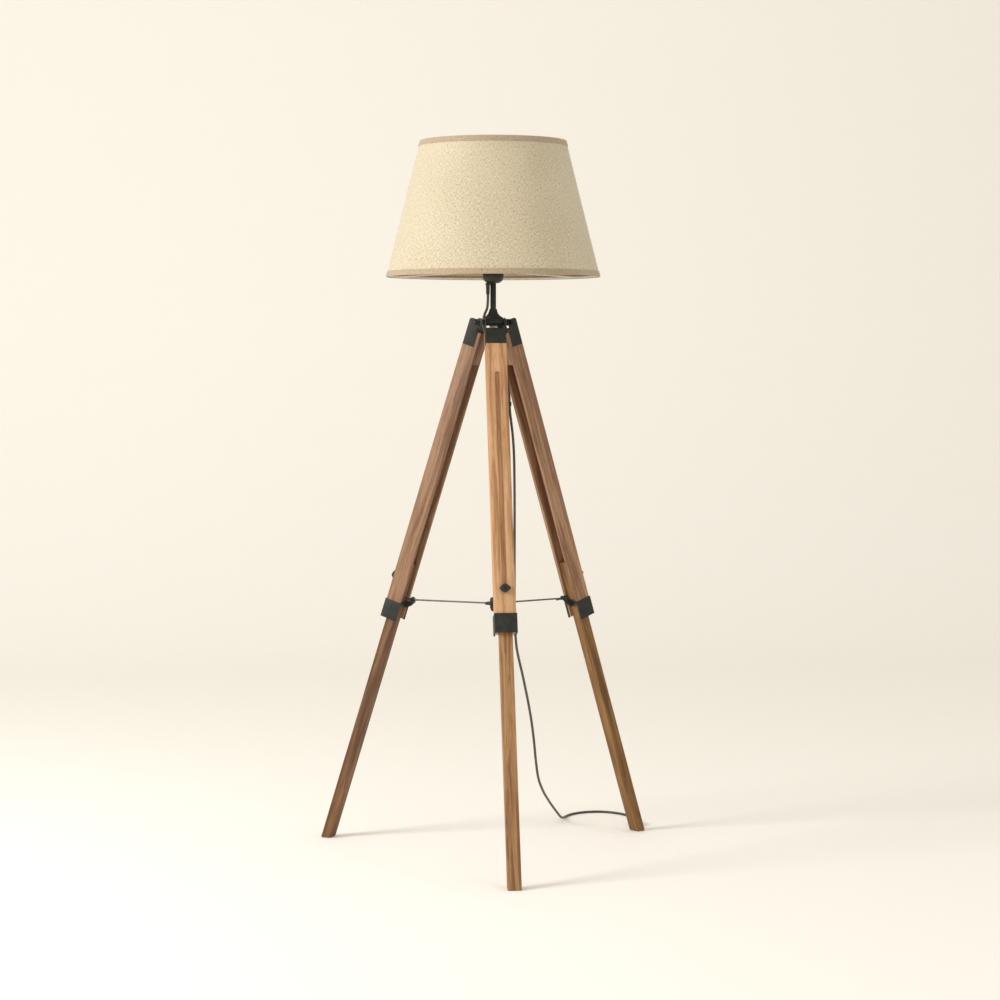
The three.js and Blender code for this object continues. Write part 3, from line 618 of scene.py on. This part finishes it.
# The cord's route, in millimetres from the foot of the lamp's axis.
UPPER_CORD = [
    (-11.9, -6.9, 1208), (-11.9, -6.9, 1190), (-11.9, -6.9, 1166), (-13.6, -7.9, 1149),
    (-18.8, -10.9, 1137), (-21.8, -12.6, 1126), (-22, -12.8, 1112), (-18.5, -13.5, 1099),
    (-11, -15.5, 1086), (-3, -20, 1070), (6, -27, 1050), (15, -34.5, 1030), (22.5, -43, 1010),
    (25.6, -55, 992), (25.8, -65.5, 978), (25.8, -73, 966), (25.8, -78.2, 950.5),
]
FREE_CORD = [
    (25.8, -78.5, 949.6), (26.2, -82.4, 935), (28, -85.6, 916), (31, -87, 890), (34, -86, 850),
    (35.5, -84, 780), (36, -82, 700), (36, -80, 620), (36.5, -77, 550), (38, -70, 495),
    (43, -56, 442), (51, -37, 410), (60, -15, 380), (69, 9, 348), (78, 32, 314), (88, 56, 270),
    (96, 76, 224), (102, 92, 180), (110, 113, 137), (124, 148, 103), (144, 196, 70),
    (168, 256, 36), (186, 303, 13),
    (203.4, 362.5, 3), (220.5, 390.9, 2.8), (250, 412.9, 2.8), (285.7, 418.2, 2.8),
    (312.7, 407.3, 2.8), (332.8, 388, 2.8), (346.5, 365.5, 2.9), (353.3, 343.6, 3.8),
    (354.7, 324.4, 5.8), (353.7, 310.4, 7.3), (352.7, 300.9, 7.6),
]
PLUG = (UPRIGHT @ Matrix.Translation((PLUG_CENTRE[0] * MM, PLUG_CENTRE[1] * MM, 0))
        @ Matrix.Rotation(math.radians(-6.06), 4, "Z"))


def smooth_path(points, step):
    """Points a step apart along a centripetal Catmull-Rom curve through the given ones."""
    knots = [Vector(p) for p in points]
    padded = [2 * knots[0] - knots[1], *knots, 2 * knots[-1] - knots[-2]]
    dense = []
    for p0, p1, p2, p3 in zip(padded, padded[1:], padded[2:], padded[3:]):
        t1 = math.sqrt((p1 - p0).length)
        t2 = t1 + math.sqrt((p2 - p1).length)
        t3 = t2 + math.sqrt((p3 - p2).length)
        for i in range(24):
            t = t1 + (t2 - t1) * i / 24
            a1 = p0 * ((t1 - t) / t1) + p1 * (t / t1)
            a2 = p1 * ((t2 - t) / (t2 - t1)) + p2 * ((t - t1) / (t2 - t1))
            a3 = p2 * ((t3 - t) / (t3 - t2)) + p3 * ((t - t2) / (t3 - t2))
            b1 = a1 * ((t2 - t) / t2) + a2 * (t / t2)
            b2 = a2 * ((t3 - t) / (t3 - t1)) + a3 * ((t - t1) / (t3 - t1))
            dense.append(b1 * ((t2 - t) / (t2 - t1)) + b2 * ((t - t1) / (t2 - t1)))
    dense.append(knots[-1])
    total = sum((b - a).length for a, b in zip(dense, dense[1:]))
    count = max(2, round(total / step))
    spacing = total / count
    path, carried = [dense[0]], 0.0
    for a, b in zip(dense, dense[1:]):
        length = (b - a).length
        while length and carried + length >= spacing - 1e-9:
            a = a.lerp(b, (spacing - carried) / length)
            length = (b - a).length
            carried = 0.0
            path.append(a)
            if len(path) == count + 1:
                return path
        carried += length
    if len(path) < count + 1:
        path.append(dense[-1])
    return path


def tube(name, path, radius, sides=16):
    """A round tube whose rings are centred on the path's points, without twist."""
    tangents = []
    for i in range(len(path)):
        a, b = path[max(i - 1, 0)], path[min(i + 1, len(path) - 1)]
        tangents.append((b - a).normalized())
    side = tangents[0].orthogonal().normalized()
    points = []
    for centre, tangent in zip(path, tangents):
        side = (side - tangent * side.dot(tangent)).normalized()
        up = tangent.cross(side)
        points += [centre + (side * x + up * y) * radius for x, y in circle(1, sides)]
    obj = add_object(name, points, capped(len(path), sides), None, 60)
    recalculate(obj)
    return obj


def make_cord(m):
    lift = AXIS / MM
    upper_path = smooth_path([Vector(p) + lift for p in UPPER_CORD], CORD_STEP)
    upper = tube("cord_to_clip", upper_path, CORD_RADIUS)
    upper.data.materials.append(m["cord"])
    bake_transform(upper)
    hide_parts("cord_upper")
    path = smooth_path([Vector(p) + lift for p in FREE_CORD], CORD_STEP)
    for point in path:
        point.z = max(point.z, CORD_LOWEST)
    free = tube("cord_to_plug", path, CORD_RADIUS)
    free.data.materials.append(m["cord"])
    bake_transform(free)
    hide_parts("cord_free")
    plug = make_plug(m)


PLUG_BODY = [  # y, half width, half height
    (-28.5, 8.6, 5.2), (-28.0, 10.4, 6.9), (-26.5, 11.0, 7.4), (-20, 11.0, 7.5), (-14, 11.0, 7.5),
    (-8, 10.7, 7.3), (-2, 10.9, 7.4), (3, 10.6, 7.2), (7, 9.2, 6.6), (10, 7.0, 5.6), (11.6, 5.2, 4.8),
]
RELIEF_RIBS, RELIEF_START, RELIEF_PITCH = 5, 12.4, 3.6
BLADE_OFFSET = 6.35


def make_plug(m):
    """A moulded two-blade plug with a ribbed strain relief."""
    stations = list(PLUG_BODY)
    for i in range(RELIEF_RIBS):
        at = RELIEF_START + RELIEF_PITCH * i
        thick = 4.2 - 0.18 * i
        thin = thick - 0.55
        stations += [(at, thick, thick), (at + 2.0, thick, thick)]
        stations += [(at + 2.2, thin, thin), (at + 3.3, thin, thin)]
    sides, points = 40, []
    for y, wide, tall in stations:
        power = 0.62 if wide > 5.5 else 1.0
        for c, s in circle(1, sides):
            gripped = -18 < y < -1 and abs(s) > 0.55 and math.cos(y * 2.2) > 0.2
            height = tall - 0.35 * gripped
            points.append((wide * math.copysign(abs(c) ** power, c), y,
                           PLUG_Z + height * math.copysign(abs(s) ** power, s)))
    plug = add_object("plug_body", points, capped(len(stations), sides), PLUG, 35)
    recalculate(plug)
    settle(plug, "lamp_head", m["plug"], "black_plastic", "plug")
    for letter, x in (("a", -BLADE_OFFSET), ("b", BLADE_OFFSET)):
        settle(make_blade(f"plug_blade_{letter}", x, PLUG_Z), "lamp_head", m["brass"], "brass")
    return plug


def make_blade(name, x, z):
    """A flat blade with a rounded tip and a round hole through it."""
    outline = [(-27.0, -3.15), (-41.4, -3.15), (-42.6, -2.2), (-42.6, 2.2), (-41.4, 3.15), (-27.0, 3.15)]
    hole = [(-38.5 + y, h) for y, h in circle(1.5, 16)]
    bm = bmesh.new()
    loops = []
    for ring in (outline, hole):
        verts = [bm.verts.new(((x - 0.75) * MM, y * MM, (z + h) * MM)) for y, h in ring]
        loops += [bm.edges.new((verts[i], verts[(i + 1) % len(verts)])) for i in range(len(verts))]
    bmesh.ops.triangle_fill(bm, use_beauty=True, edges=loops)
    out = bmesh.ops.extrude_face_region(bm, geom=bm.faces[:])
    moved = [v for v in out["geom"] if isinstance(v, bmesh.types.BMVert)]
    bmesh.ops.translate(bm, vec=(1.5 * MM, 0, 0), verts=moved)
    bmesh.ops.recalc_face_normals(bm, faces=bm.faces)
    mesh = bpy.data.meshes.new(name)
    bm.to_mesh(mesh)
    bm.free()
    obj = bpy.data.objects.new(name, mesh)
    bpy.context.collection.objects.link(obj)
    obj.matrix_world = PLUG
    rounding = obj.modifiers.new("rounding", "BEVEL")
    rounding.width = 0.2 * MM
    rounding.segments = 2
    apply_modifiers(obj)
    shade(obj, 40)
    return obj


# ---------------------------------------------------------------- shade
SHADE_BOTTOM, SHADE_TOP = 1214.5, 1498.0
SHADE_BOTTOM_RADIUS, SHADE_TOP_RADIUS = 225.0, 153.7
SHADE_SIDES = 192
WIRE_RADIUS = 2.0
WIRE_DEPTH, WIRE_RISE = 5.5, 3.5  # of the wire's centre, from the cloth and from the shade's edge


def shade_radius(z, depth=0.0):
    """The radius of the shade's outer face at a height, or of a surface that is deeper in."""
    share = (z - SHADE_BOTTOM) / (SHADE_TOP - SHADE_BOTTOM)
    return SHADE_BOTTOM_RADIUS + (SHADE_TOP_RADIUS - SHADE_BOTTOM_RADIUS) * share - depth


def cloth_ring(name, profile, sides, wobble):
    """A closed ring of (depth, z) pairs round the shade, with a UV map in metres called weave."""
    rows = len(profile)
    lengths = [0.0]
    for (d0, z0), (d1, z1) in zip(profile, profile[1:] + profile[:1]):
        lengths.append(lengths[-1] + math.hypot(d1 - d0, z1 - z0) * MM)
    middle = shade_radius(sum(z for _, z in profile) / rows)
    points = []
    for i in range(sides):
        angle = 2 * math.pi * i / sides
        for depth, z in profile:
            r = shade_radius(z, depth) - wobble * wave(angle, z)
            points.append((r * math.cos(angle), r * math.sin(angle), z))
    faces = []
    for i in range(sides):
        j = (i + 1) % sides
        for k in range(rows):
            after = (k + 1) % rows
            faces.append((i * rows + k, i * rows + after, j * rows + after, j * rows + k))
    obj = add_object(name, points, faces, UPRIGHT, 50)
    layer = obj.data.uv_layers.new(name="weave")
    around = 2 * math.pi * middle * MM / sides
    for face in obj.data.polygons:
        i, k = divmod(face.index, rows)
        j, after = (i + 1) % sides, (k + 1) % rows
        corners = {
            i * rows + k: (i, lengths[k]),
            i * rows + after: (i, lengths[k + 1]),
            j * rows + after: (i + 1, lengths[k + 1]),
            j * rows + k: (i + 1, lengths[k]),
        }
        for loop in face.loop_indices:
            column, along = corners[obj.data.loops[loop].vertex_index]
            layer.data[loop].uv = (column * around, along)
    return obj


def wave(angle, z):
    """A slow unevenness of the stretched cloth, between 0 and 1."""
    share = (z - SHADE_BOTTOM) / (SHADE_TOP - SHADE_BOTTOM)
    belly = math.sin(math.pi * max(0.0, min(1.0, share)))
    return belly * (0.5 + 0.25 * math.sin(3 * angle + 1.1) + 0.25 * math.sin(7 * angle + 4 * share))


def make_shade(m):
    low, high = SHADE_BOTTOM + 1.2, SHADE_TOP - 1.2
    rows = 24
    heights = [low + (high - low) * k / rows for k in range(rows + 1)]
    outer = [(1.0, z) for z in heights]
    inner = [(2.2, z) for z in reversed(heights)]
    cloth = cloth_ring("shade_cloth", outer + inner, SHADE_SIDES, 0.5)
    recalculate(cloth)
    cloth.data.materials.append(m["linen"])
    cloth.data.materials.append(m["lining"])
    for face in cloth.data.polygons:
        face.material_index = 1 if face.index % (2 * rows + 2) >= rows else 0
    settle(cloth, "lamp_head", None, "shade_linen", "shade_fabric")
    make_tape("shade_top_tape", SHADE_TOP, -1, m)
    make_tape("shade_bottom_tape", SHADE_BOTTOM, 1, m)
    make_wire_ring(m)
    make_spokes(m)


def make_tape(node, edge, inward, m):
    """Binding tape folded over one edge of the shade."""
    tape = cloth_ring(node + "_piece", tape_profile(edge, inward), SHADE_SIDES, 0.0)
    recalculate(tape)
    settle(tape, "lamp_head", m["tape"], "shade_tape", node)


def tape_profile(edge, inward):
    """Tape folded over an edge: out, round the edge and in, then back along its other face."""
    face = [(0.0, 11.3), (-0.05, 10.9), (0.0, 8), (0.02, 4), (0.05, 1.4), (0.35, 0.5), (0.95, 0.08),
            (2.2, 0.08), (2.85, 0.5), (3.12, 1.4), (3.15, 4), (3.2, 7.8), (3.1, 8.0)]
    back = [(2.6, 8.0), (2.5, 4), (2.45, 1.6), (2.2, 0.95), (1.0, 0.95), (0.78, 1.6), (0.72, 4), (0.7, 8),
            (0.66, 11.2), (0.5, 11.45), (0.2, 11.5)]
    return [(depth, edge + inward * along) for depth, along in face + back]


def wire_circle(name, z, sides=120, facets=12):
    """A ring of wire just inside the shade at a height."""
    radius = shade_radius(z, WIRE_DEPTH)
    points, faces = [], []
    for x, y in circle(radius, sides):
        out = Vector((x, y, 0)).normalized()
        points += [Vector((x, y, z)) + out * a + Vector((0, 0, b)) for a, b in circle(WIRE_RADIUS, facets)]
    for i in range(sides):
        j = (i + 1) % sides
        for k in range(facets):
            after = (k + 1) % facets
            faces.append((i * facets + k, i * facets + after, j * facets + after, j * facets + k))
    obj = add_object(name, points, faces, UPRIGHT, 60)
    recalculate(obj)
    return obj


def make_wire_ring(m):
    ring = wire_circle("shade_top_wire", SHADE_TOP - WIRE_RISE)
    settle(ring, "lamp_head", m["wire"], "white_wire", "shade_top_ring")


FITTER = (20.4, 1226.25, 29, 1227.75)  # inner radius, bottom, outer radius and top


def make_spokes(m):
    """The lower wire ring, its three spokes and the ring that sits on the lamp holder, welded together."""
    z = SHADE_BOTTOM + WIRE_RISE
    radius = shade_radius(z, WIRE_DEPTH)
    ring = wire_circle("shade_lower_frame", z)
    fitter = lathe("fitter", soften(band(*FITTER), 0.5), UPRIGHT)
    route = [
        (radius + 0.6, z), (radius - 8, z + 0.2), (120, z + 4.2), (40, 1225.3), (30, 1225.8), (24.5, 1225.6),
    ]
    spokes = []
    for i in range(3):
        angle = i * 2 * math.pi / 3 + math.pi / 6
        stops = [(r * math.cos(angle), r * math.sin(angle), height) for r, height in route]
        spoke = tube(f"spoke_{i}", smooth_path(stops, 3), 1.7, 12)
        spoke.matrix_world = UPRIGHT
        spokes.append(spoke)
    whole = joined(ring, fitter, *spokes)
    settle(whole, "lamp_head", m["wire"], "white_wire", "shade_frame")


# ---------------------------------------------------------------- lamp holder, bulb and post
CAP_BOTTOM, CAP_RADIUS, CAP_TOP = 1202, 22, 1222.5
NUT_BOTTOM = 1228.05
CAP_BOWL = [  # radius, height above the cap's bottom
    (11.2, 0), (13, 0.5), (14.6, 1.2), (16.2, 2.2), (17.6, 3.4), (18.9, 4.8),
    (19.9, 6.4), (20.7, 8), (21.3, 9.8), (21.75, 11.8), (CAP_RADIUS, 14),
]
CAP_INSIDE = [(20, 13.8), (19.3, 10.6), (17.9, 7.5), (15.6, 5), (12.6, 3.5), (5.3, 3.2)]


def above(z, points):
    return [(r, z + rise) for r, rise in points]


def make_holder(m):
    rim = [(CAP_RADIUS, CAP_TOP), (20, CAP_TOP)]
    cap = [(5.3, CAP_BOTTOM), *above(CAP_BOTTOM, CAP_BOWL), *rim, *above(CAP_BOTTOM, CAP_INSIDE)]
    piece = lathe("holder_cap", soften(cap, 0.4, 2), UPRIGHT)
    settle(piece, "lamp_head", m["plastic"], "black_plastic", "socket_cap")
    skirt = [(17.5, 1222.8), (22, 1222.8), (22, 1225.95), (19.4, 1225.95), (19.4, 1237.6), (17.5, 1237.6)]
    base = lathe("holder_sleeve", soften(skirt, 0.4, 2), UPRIGHT)
    thread = screw_thread("thread", 19.8, 0.8, 3.0, 24.4, upright_at(1237.6), 72, 17.5)
    settle(joined(base, thread), "lamp_head", m["plastic"], "black_plastic", "socket_sleeve")
    nut = [(20.2, 0.4), (20.6, 0), (27.2, 0), (28, 0.8), (28, 8.2), (27.2, 9), (20.6, 9), (20.2, 8.6)]
    ring = ribbed_ring("shade_ring_nut_piece", above(NUT_BOTTOM, nut), 36)
    settle(ring, "shade_ring_nut", m["plastic"], "black_plastic", "shade_ring_nut")
    insulator = [(0, 1217), (17.2, 1217), (17.2, 1233), (15.6, 1233), (15.6, 1230), (0, 1230)]
    piece = lathe("holder_insulator", soften(insulator, 0.5), UPRIGHT)
    settle(piece, "lamp_head", m["ceramic"], "ceramic", "socket_insulator")
    shell = screw_thread("holder_shell", 15.2, 0.7, 3.6, 26.7, upright_at(1230.3), 60, 13.9)
    settle(shell, "lamp_head", m["brass"], "brass", "socket_screw_shell")
    make_bushing(m)


def upright_at(z):
    return UPRIGHT @ Matrix.Translation((0, 0, z * MM))


def make_bushing(m):
    """The tapered strain relief where the cord leaves the holder's cap."""
    profile = [
        (3.0, 1178), (3.5, 1178), (3.75, 1179.2), (3.95, 1189), (4.3, 1197.4), (5.2, 1198.3), (5.2, 1201.7),
        (3.0, 1201.7),
    ]
    x, y, _ = UPPER_CORD[0]
    place = UPRIGHT @ Matrix.Translation((x * MM, y * MM, 0))
    bushing = lathe("cord_bushing_piece", soften(profile, 0.3, 2), place, 32)
    settle(bushing, "lamp_head", m["plastic"], "black_plastic", "cord_bushing")


def ribbed_ring(name, profile, ribs):
    """A nut turned from a profile, with shallow ribs round its outer edge."""
    sides, count = ribs * 6, len(profile)
    points, faces = [], []
    for i in range(sides):
        angle = 2 * math.pi * i / sides
        rise = 1.15 * max(0.0, math.cos(angle * ribs)) ** 0.7
        for r, z in profile:
            reach = r + (rise if r > 26 else 0)
            points.append((reach * math.cos(angle), reach * math.sin(angle), z))
        j = (i + 1) % sides
        for k in range(count):
            after = (k + 1) % count
            faces.append((i * count + k, j * count + k, j * count + after, i * count + after))
    obj = add_object(name, points, faces, UPRIGHT, 40)
    recalculate(obj)
    return obj


GLOBE_RADIUS, GLOBE_Z = 30, 1308


def make_bulb(m):
    screw = screw_thread("bulb_screw_cap_piece", 13.2, 0.7, 3.6, 22, upright_at(1240), 60)
    contact = [(0, 1234), (4.5, 1234), (6, 1236.5), (12.4, 1240.1), (0, 1240.1)]
    tip = lathe("tip", soften(contact, 0.6), UPRIGHT, 48)
    settle(joined(screw, tip), "lamp_head", m["zinc"], "zinc_steel", "bulb_screw_cap")
    neck = [(0, 1262.3), (13.2, 1262.3), (13.6, 1262.9), (14.0, 1266), (14.6, 1271)]
    globe = []
    for i in range(1, 41):
        angle = math.radians(-52 + i * 142 / 40)
        reach = GLOBE_RADIUS * math.cos(angle) if i < 40 else 0
        globe.append((reach, GLOBE_Z + GLOBE_RADIUS * math.sin(angle)))
    glass = lathe("bulb_globe", neck + globe, UPRIGHT, 72, smooth=50)
    settle(glass, "lamp_head", m["opal"], "opal_glass", "bulb_glass")


def make_post(m):
    sleeve = lathe("post_sleeve", soften(band(5.35, 1127.35, 6.1, 1201.7), 0.25, 2), UPRIGHT, 48)
    settle(sleeve, "lamp_head", m["steel"], "black_steel", "post_tube")
    cone = [
        (6.4, 1127.3), (21, 1127.3), (21, 1129.9), (18.6, 1131.2), (16, 1132.6), (13.6, 1134.6), (11.6, 1137),
        (10, 1139.6), (8.9, 1142.6), (8.3, 1145.4), (8, 1147.8), (6.4, 1147.8),
    ]
    flange = lathe("cone_flange_piece", soften(cone, 0.5), UPRIGHT, 64)
    settle(flange, "lamp_head", m["steel"], "black_steel", "cone_flange")
    pipe = screw_thread("lamp_pipe_piece", 5.0, 0.35, 1.0, 10.2, upright_at(1103), 28, 3.4)
    shaft = lathe("shaft", soften(band(3.4, 1113.2, 4.95, 1214), 0.3, 2), UPRIGHT, 28)
    settle(joined(pipe, shaft), "lamp_head", m["zinc"], "zinc_steel", "lamp_pipe")
    refine("hub", UPRIGHT, 0.8, "lamp_head", m["steel"], "black_steel")
    refine("hub_nut", UPRIGHT, 0.6, "lamp_head", m["zinc"], "zinc_steel")


# ---------------------------------------------------------------- legs and spreader
OUT, ALONG_BOLT, AGAINST_BOLT = (0, -1, 0), (1, 0, 0), (-1, 0, 0)  # directions in a leg's own frame


def lug_in_leg():
    """The spreader bolt's y and z in a leg's own frame, in millimetres."""
    across, up = HINGE_RADIUS - LUG_RADIUS, SPREADER_Z - HINGE_Z
    cos, sin = math.cos(LEG_TILT), math.sin(LEG_TILT)
    return across * cos - up * sin, across * sin + up * cos


def make_leg(name, m):
    leg = leg_matrix(name)
    upper = f"{name}_upper"
    refine(f"{name}_upper_leg", leg, 1.1, upper, m["upper"][name], "upper_leg_wood")
    refine(f"{name}_lower_leg", leg, 1.3, f"{name}_lower", m["lower"][name], "lower_leg_wood")
    refine(f"{name}_bracket", leg, 0.7, upper, m["steel"], "black_steel")
    refine(f"{name}_collar", leg, 0.6, upper, m["steel"], "black_steel")
    make_hinge_bolt(name, leg, m)
    make_clamp(name, leg, m)
    make_spreader_bolt(name, leg, m)
    make_rod(name, m)


def make_hinge_bolt(name, leg, m):
    side = aimed(leg, (BRACKET_HALF, 0, 0), ALONG_BOLT)
    dome = [(0, 0), (5.6, 0), (5.6, 1.2), (4.9, 2.2), (3.4, 3.0), (0, 3.25)]
    head = lathe("head", soften(dome, 0.4), side, 36)
    bar = band(0, -2 * BRACKET_HALF - 0.4, 2.95, 0.2)
    shank = lathe(f"{name}_hinge_bolt_piece", soften(bar, 0.2), side, 28)
    end = aimed(leg, (-BRACKET_HALF - 0.2, 0, 0), AGAINST_BOLT)
    thread = screw_thread("thread", 3.0, 0.35, 1.0, 6.3, end)
    settle(joined(shank, head, thread), f"{name}_upper", m["steel"], "black_steel", f"{name}_hinge_bolt")
    refine(f"{name}_hinge_nut", leg, 0.6, f"{name}_upper", m["steel"], "black_steel")


def make_clamp(name, leg, m):
    root = aimed(leg, (0, -5.9, CLAMP_Z), OUT)
    thread = screw_thread(f"{name}_clamp_stud_piece", 3.0, 0.35, 1.0, 18.3, root)
    point = soften([(0, 0), (2.6, 0), (2.3, 0.6), (0, 0.8)], 0.3)
    end = lathe("end", point, aimed(leg, (0, -24.2, CLAMP_Z), OUT), 28)
    settle(joined(thread, end), f"{name}_upper", m["dark"], "zinc_steel", f"{name}_clamp_stud")
    washer = soften(band(3.3, 0, 9, 1.3), 0.35)
    disc = lathe(f"{name}_clamp_washer_piece", washer, aimed(leg, (0, -14.3, CLAMP_Z), OUT), 48)
    settle(disc, f"{name}_upper", m["zinc"], "zinc_steel", f"{name}_clamp_washer")
    refine(f"{name}_clamp_knob", leg, 0.7, f"{name}_knob", m["plastic"], "black_plastic", angle=20)


def make_spreader_bolt(name, leg, m):
    y, z = lug_in_leg()
    dome = soften([(0, 0), (4.6, 0), (4.6, 1.2), (3.8, 2.6), (0, 3.35)], 0.4)
    head = lathe("head", dome, aimed(leg, (-5.4, y, z), AGAINST_BOLT), 36)
    root = aimed(leg, (-5.8, y, z), ALONG_BOLT)
    thread = screw_thread(f"{name}_spreader_bolt_piece", 2.5, 0.3, 0.9, 17.9, root)
    settle(joined(thread, head), f"{name}_upper", m["dark"], "zinc_steel", f"{name}_spreader_bolt")
    refine(f"{name}_wing_nut", leg, 0.6, f"{name}_wing_nut", m["dark"], "zinc_steel")


ROD_STATIONS = [  # distance from the axis, half width, half height
    (185.2, 1.15, 3.2), (183, 1.3, 2.6), (180, 1.6, 2.0), (176, 1.75, 1.75), (120, 1.75, 1.75),
    (60, 1.75, 1.75), (21, 1.75, 1.75), (17.5, 1.6, 2.0), (15, 1.5, 2.2),
]


def make_rod(name, m):
    """A round bar with a flattened eye at the leg and a small eye for the centre piece's pin."""
    flat = leg_matrix(name, tilted=False)
    sides = 20
    points = [(wide * x, -reach, SPREADER_Z + tall * y)
              for reach, wide, tall in ROD_STATIONS for x, y in circle(1, sides)]
    bar = add_object(f"{name}_rod_piece", points, capped(len(ROD_STATIONS), sides), flat, 40)
    recalculate(bar)
    lug_eye = soften(band(2.75, -1.25, 5.6, 1.25), 0.5)
    eye = lathe("eye", lug_eye, aimed(flat, (0, -LUG_RADIUS, SPREADER_Z), ALONG_BOLT), 40)
    pin_eye = soften(band(1.25, -1.5, 2.6, 1.5), 0.4)
    small = lathe("small_eye", pin_eye, aimed(flat, (0, -PIN_RADIUS, SPREADER_Z), ALONG_BOLT), 32)
    settle(united(bar, eye, small), f"{name}_rod", m["rod"], "zinc_steel", f"{name}_spreader_rod")


def make_spreader_centre(m):
    centre = rounded_copy("spreader_centre", UPRIGHT, 0.5)
    pins = []
    for name in LEG_NAMES:
        place = aimed(leg_matrix(name, tilted=False), (0, -PIN_RADIUS, SPREADER_Z), ALONG_BOLT)
        pins.append(lathe("pin", soften(band(0, -6.2, 1.15, 6.2), 0.2), place, 20))
    settle(united(centre, *pins), "spreader_centre", m["steel"], "black_steel", "spreader_centre")


def make_clip(m):
    refine("cord_clip", leg_matrix("front"), 0.4, "front_upper", m["plastic"], "black_plastic")


# ---------------------------------------------------------------- the scene
make_camera()
materials = make_materials()
make_cord(materials)
make_stage()
make_shade(materials)
make_holder(materials)
make_bulb(materials)
make_post(materials)
for leg_name in LEG_NAMES:
    make_leg(leg_name, materials)
make_spreader_centre(materials)
make_clip(materials)

bpy.context.view_layer.update()
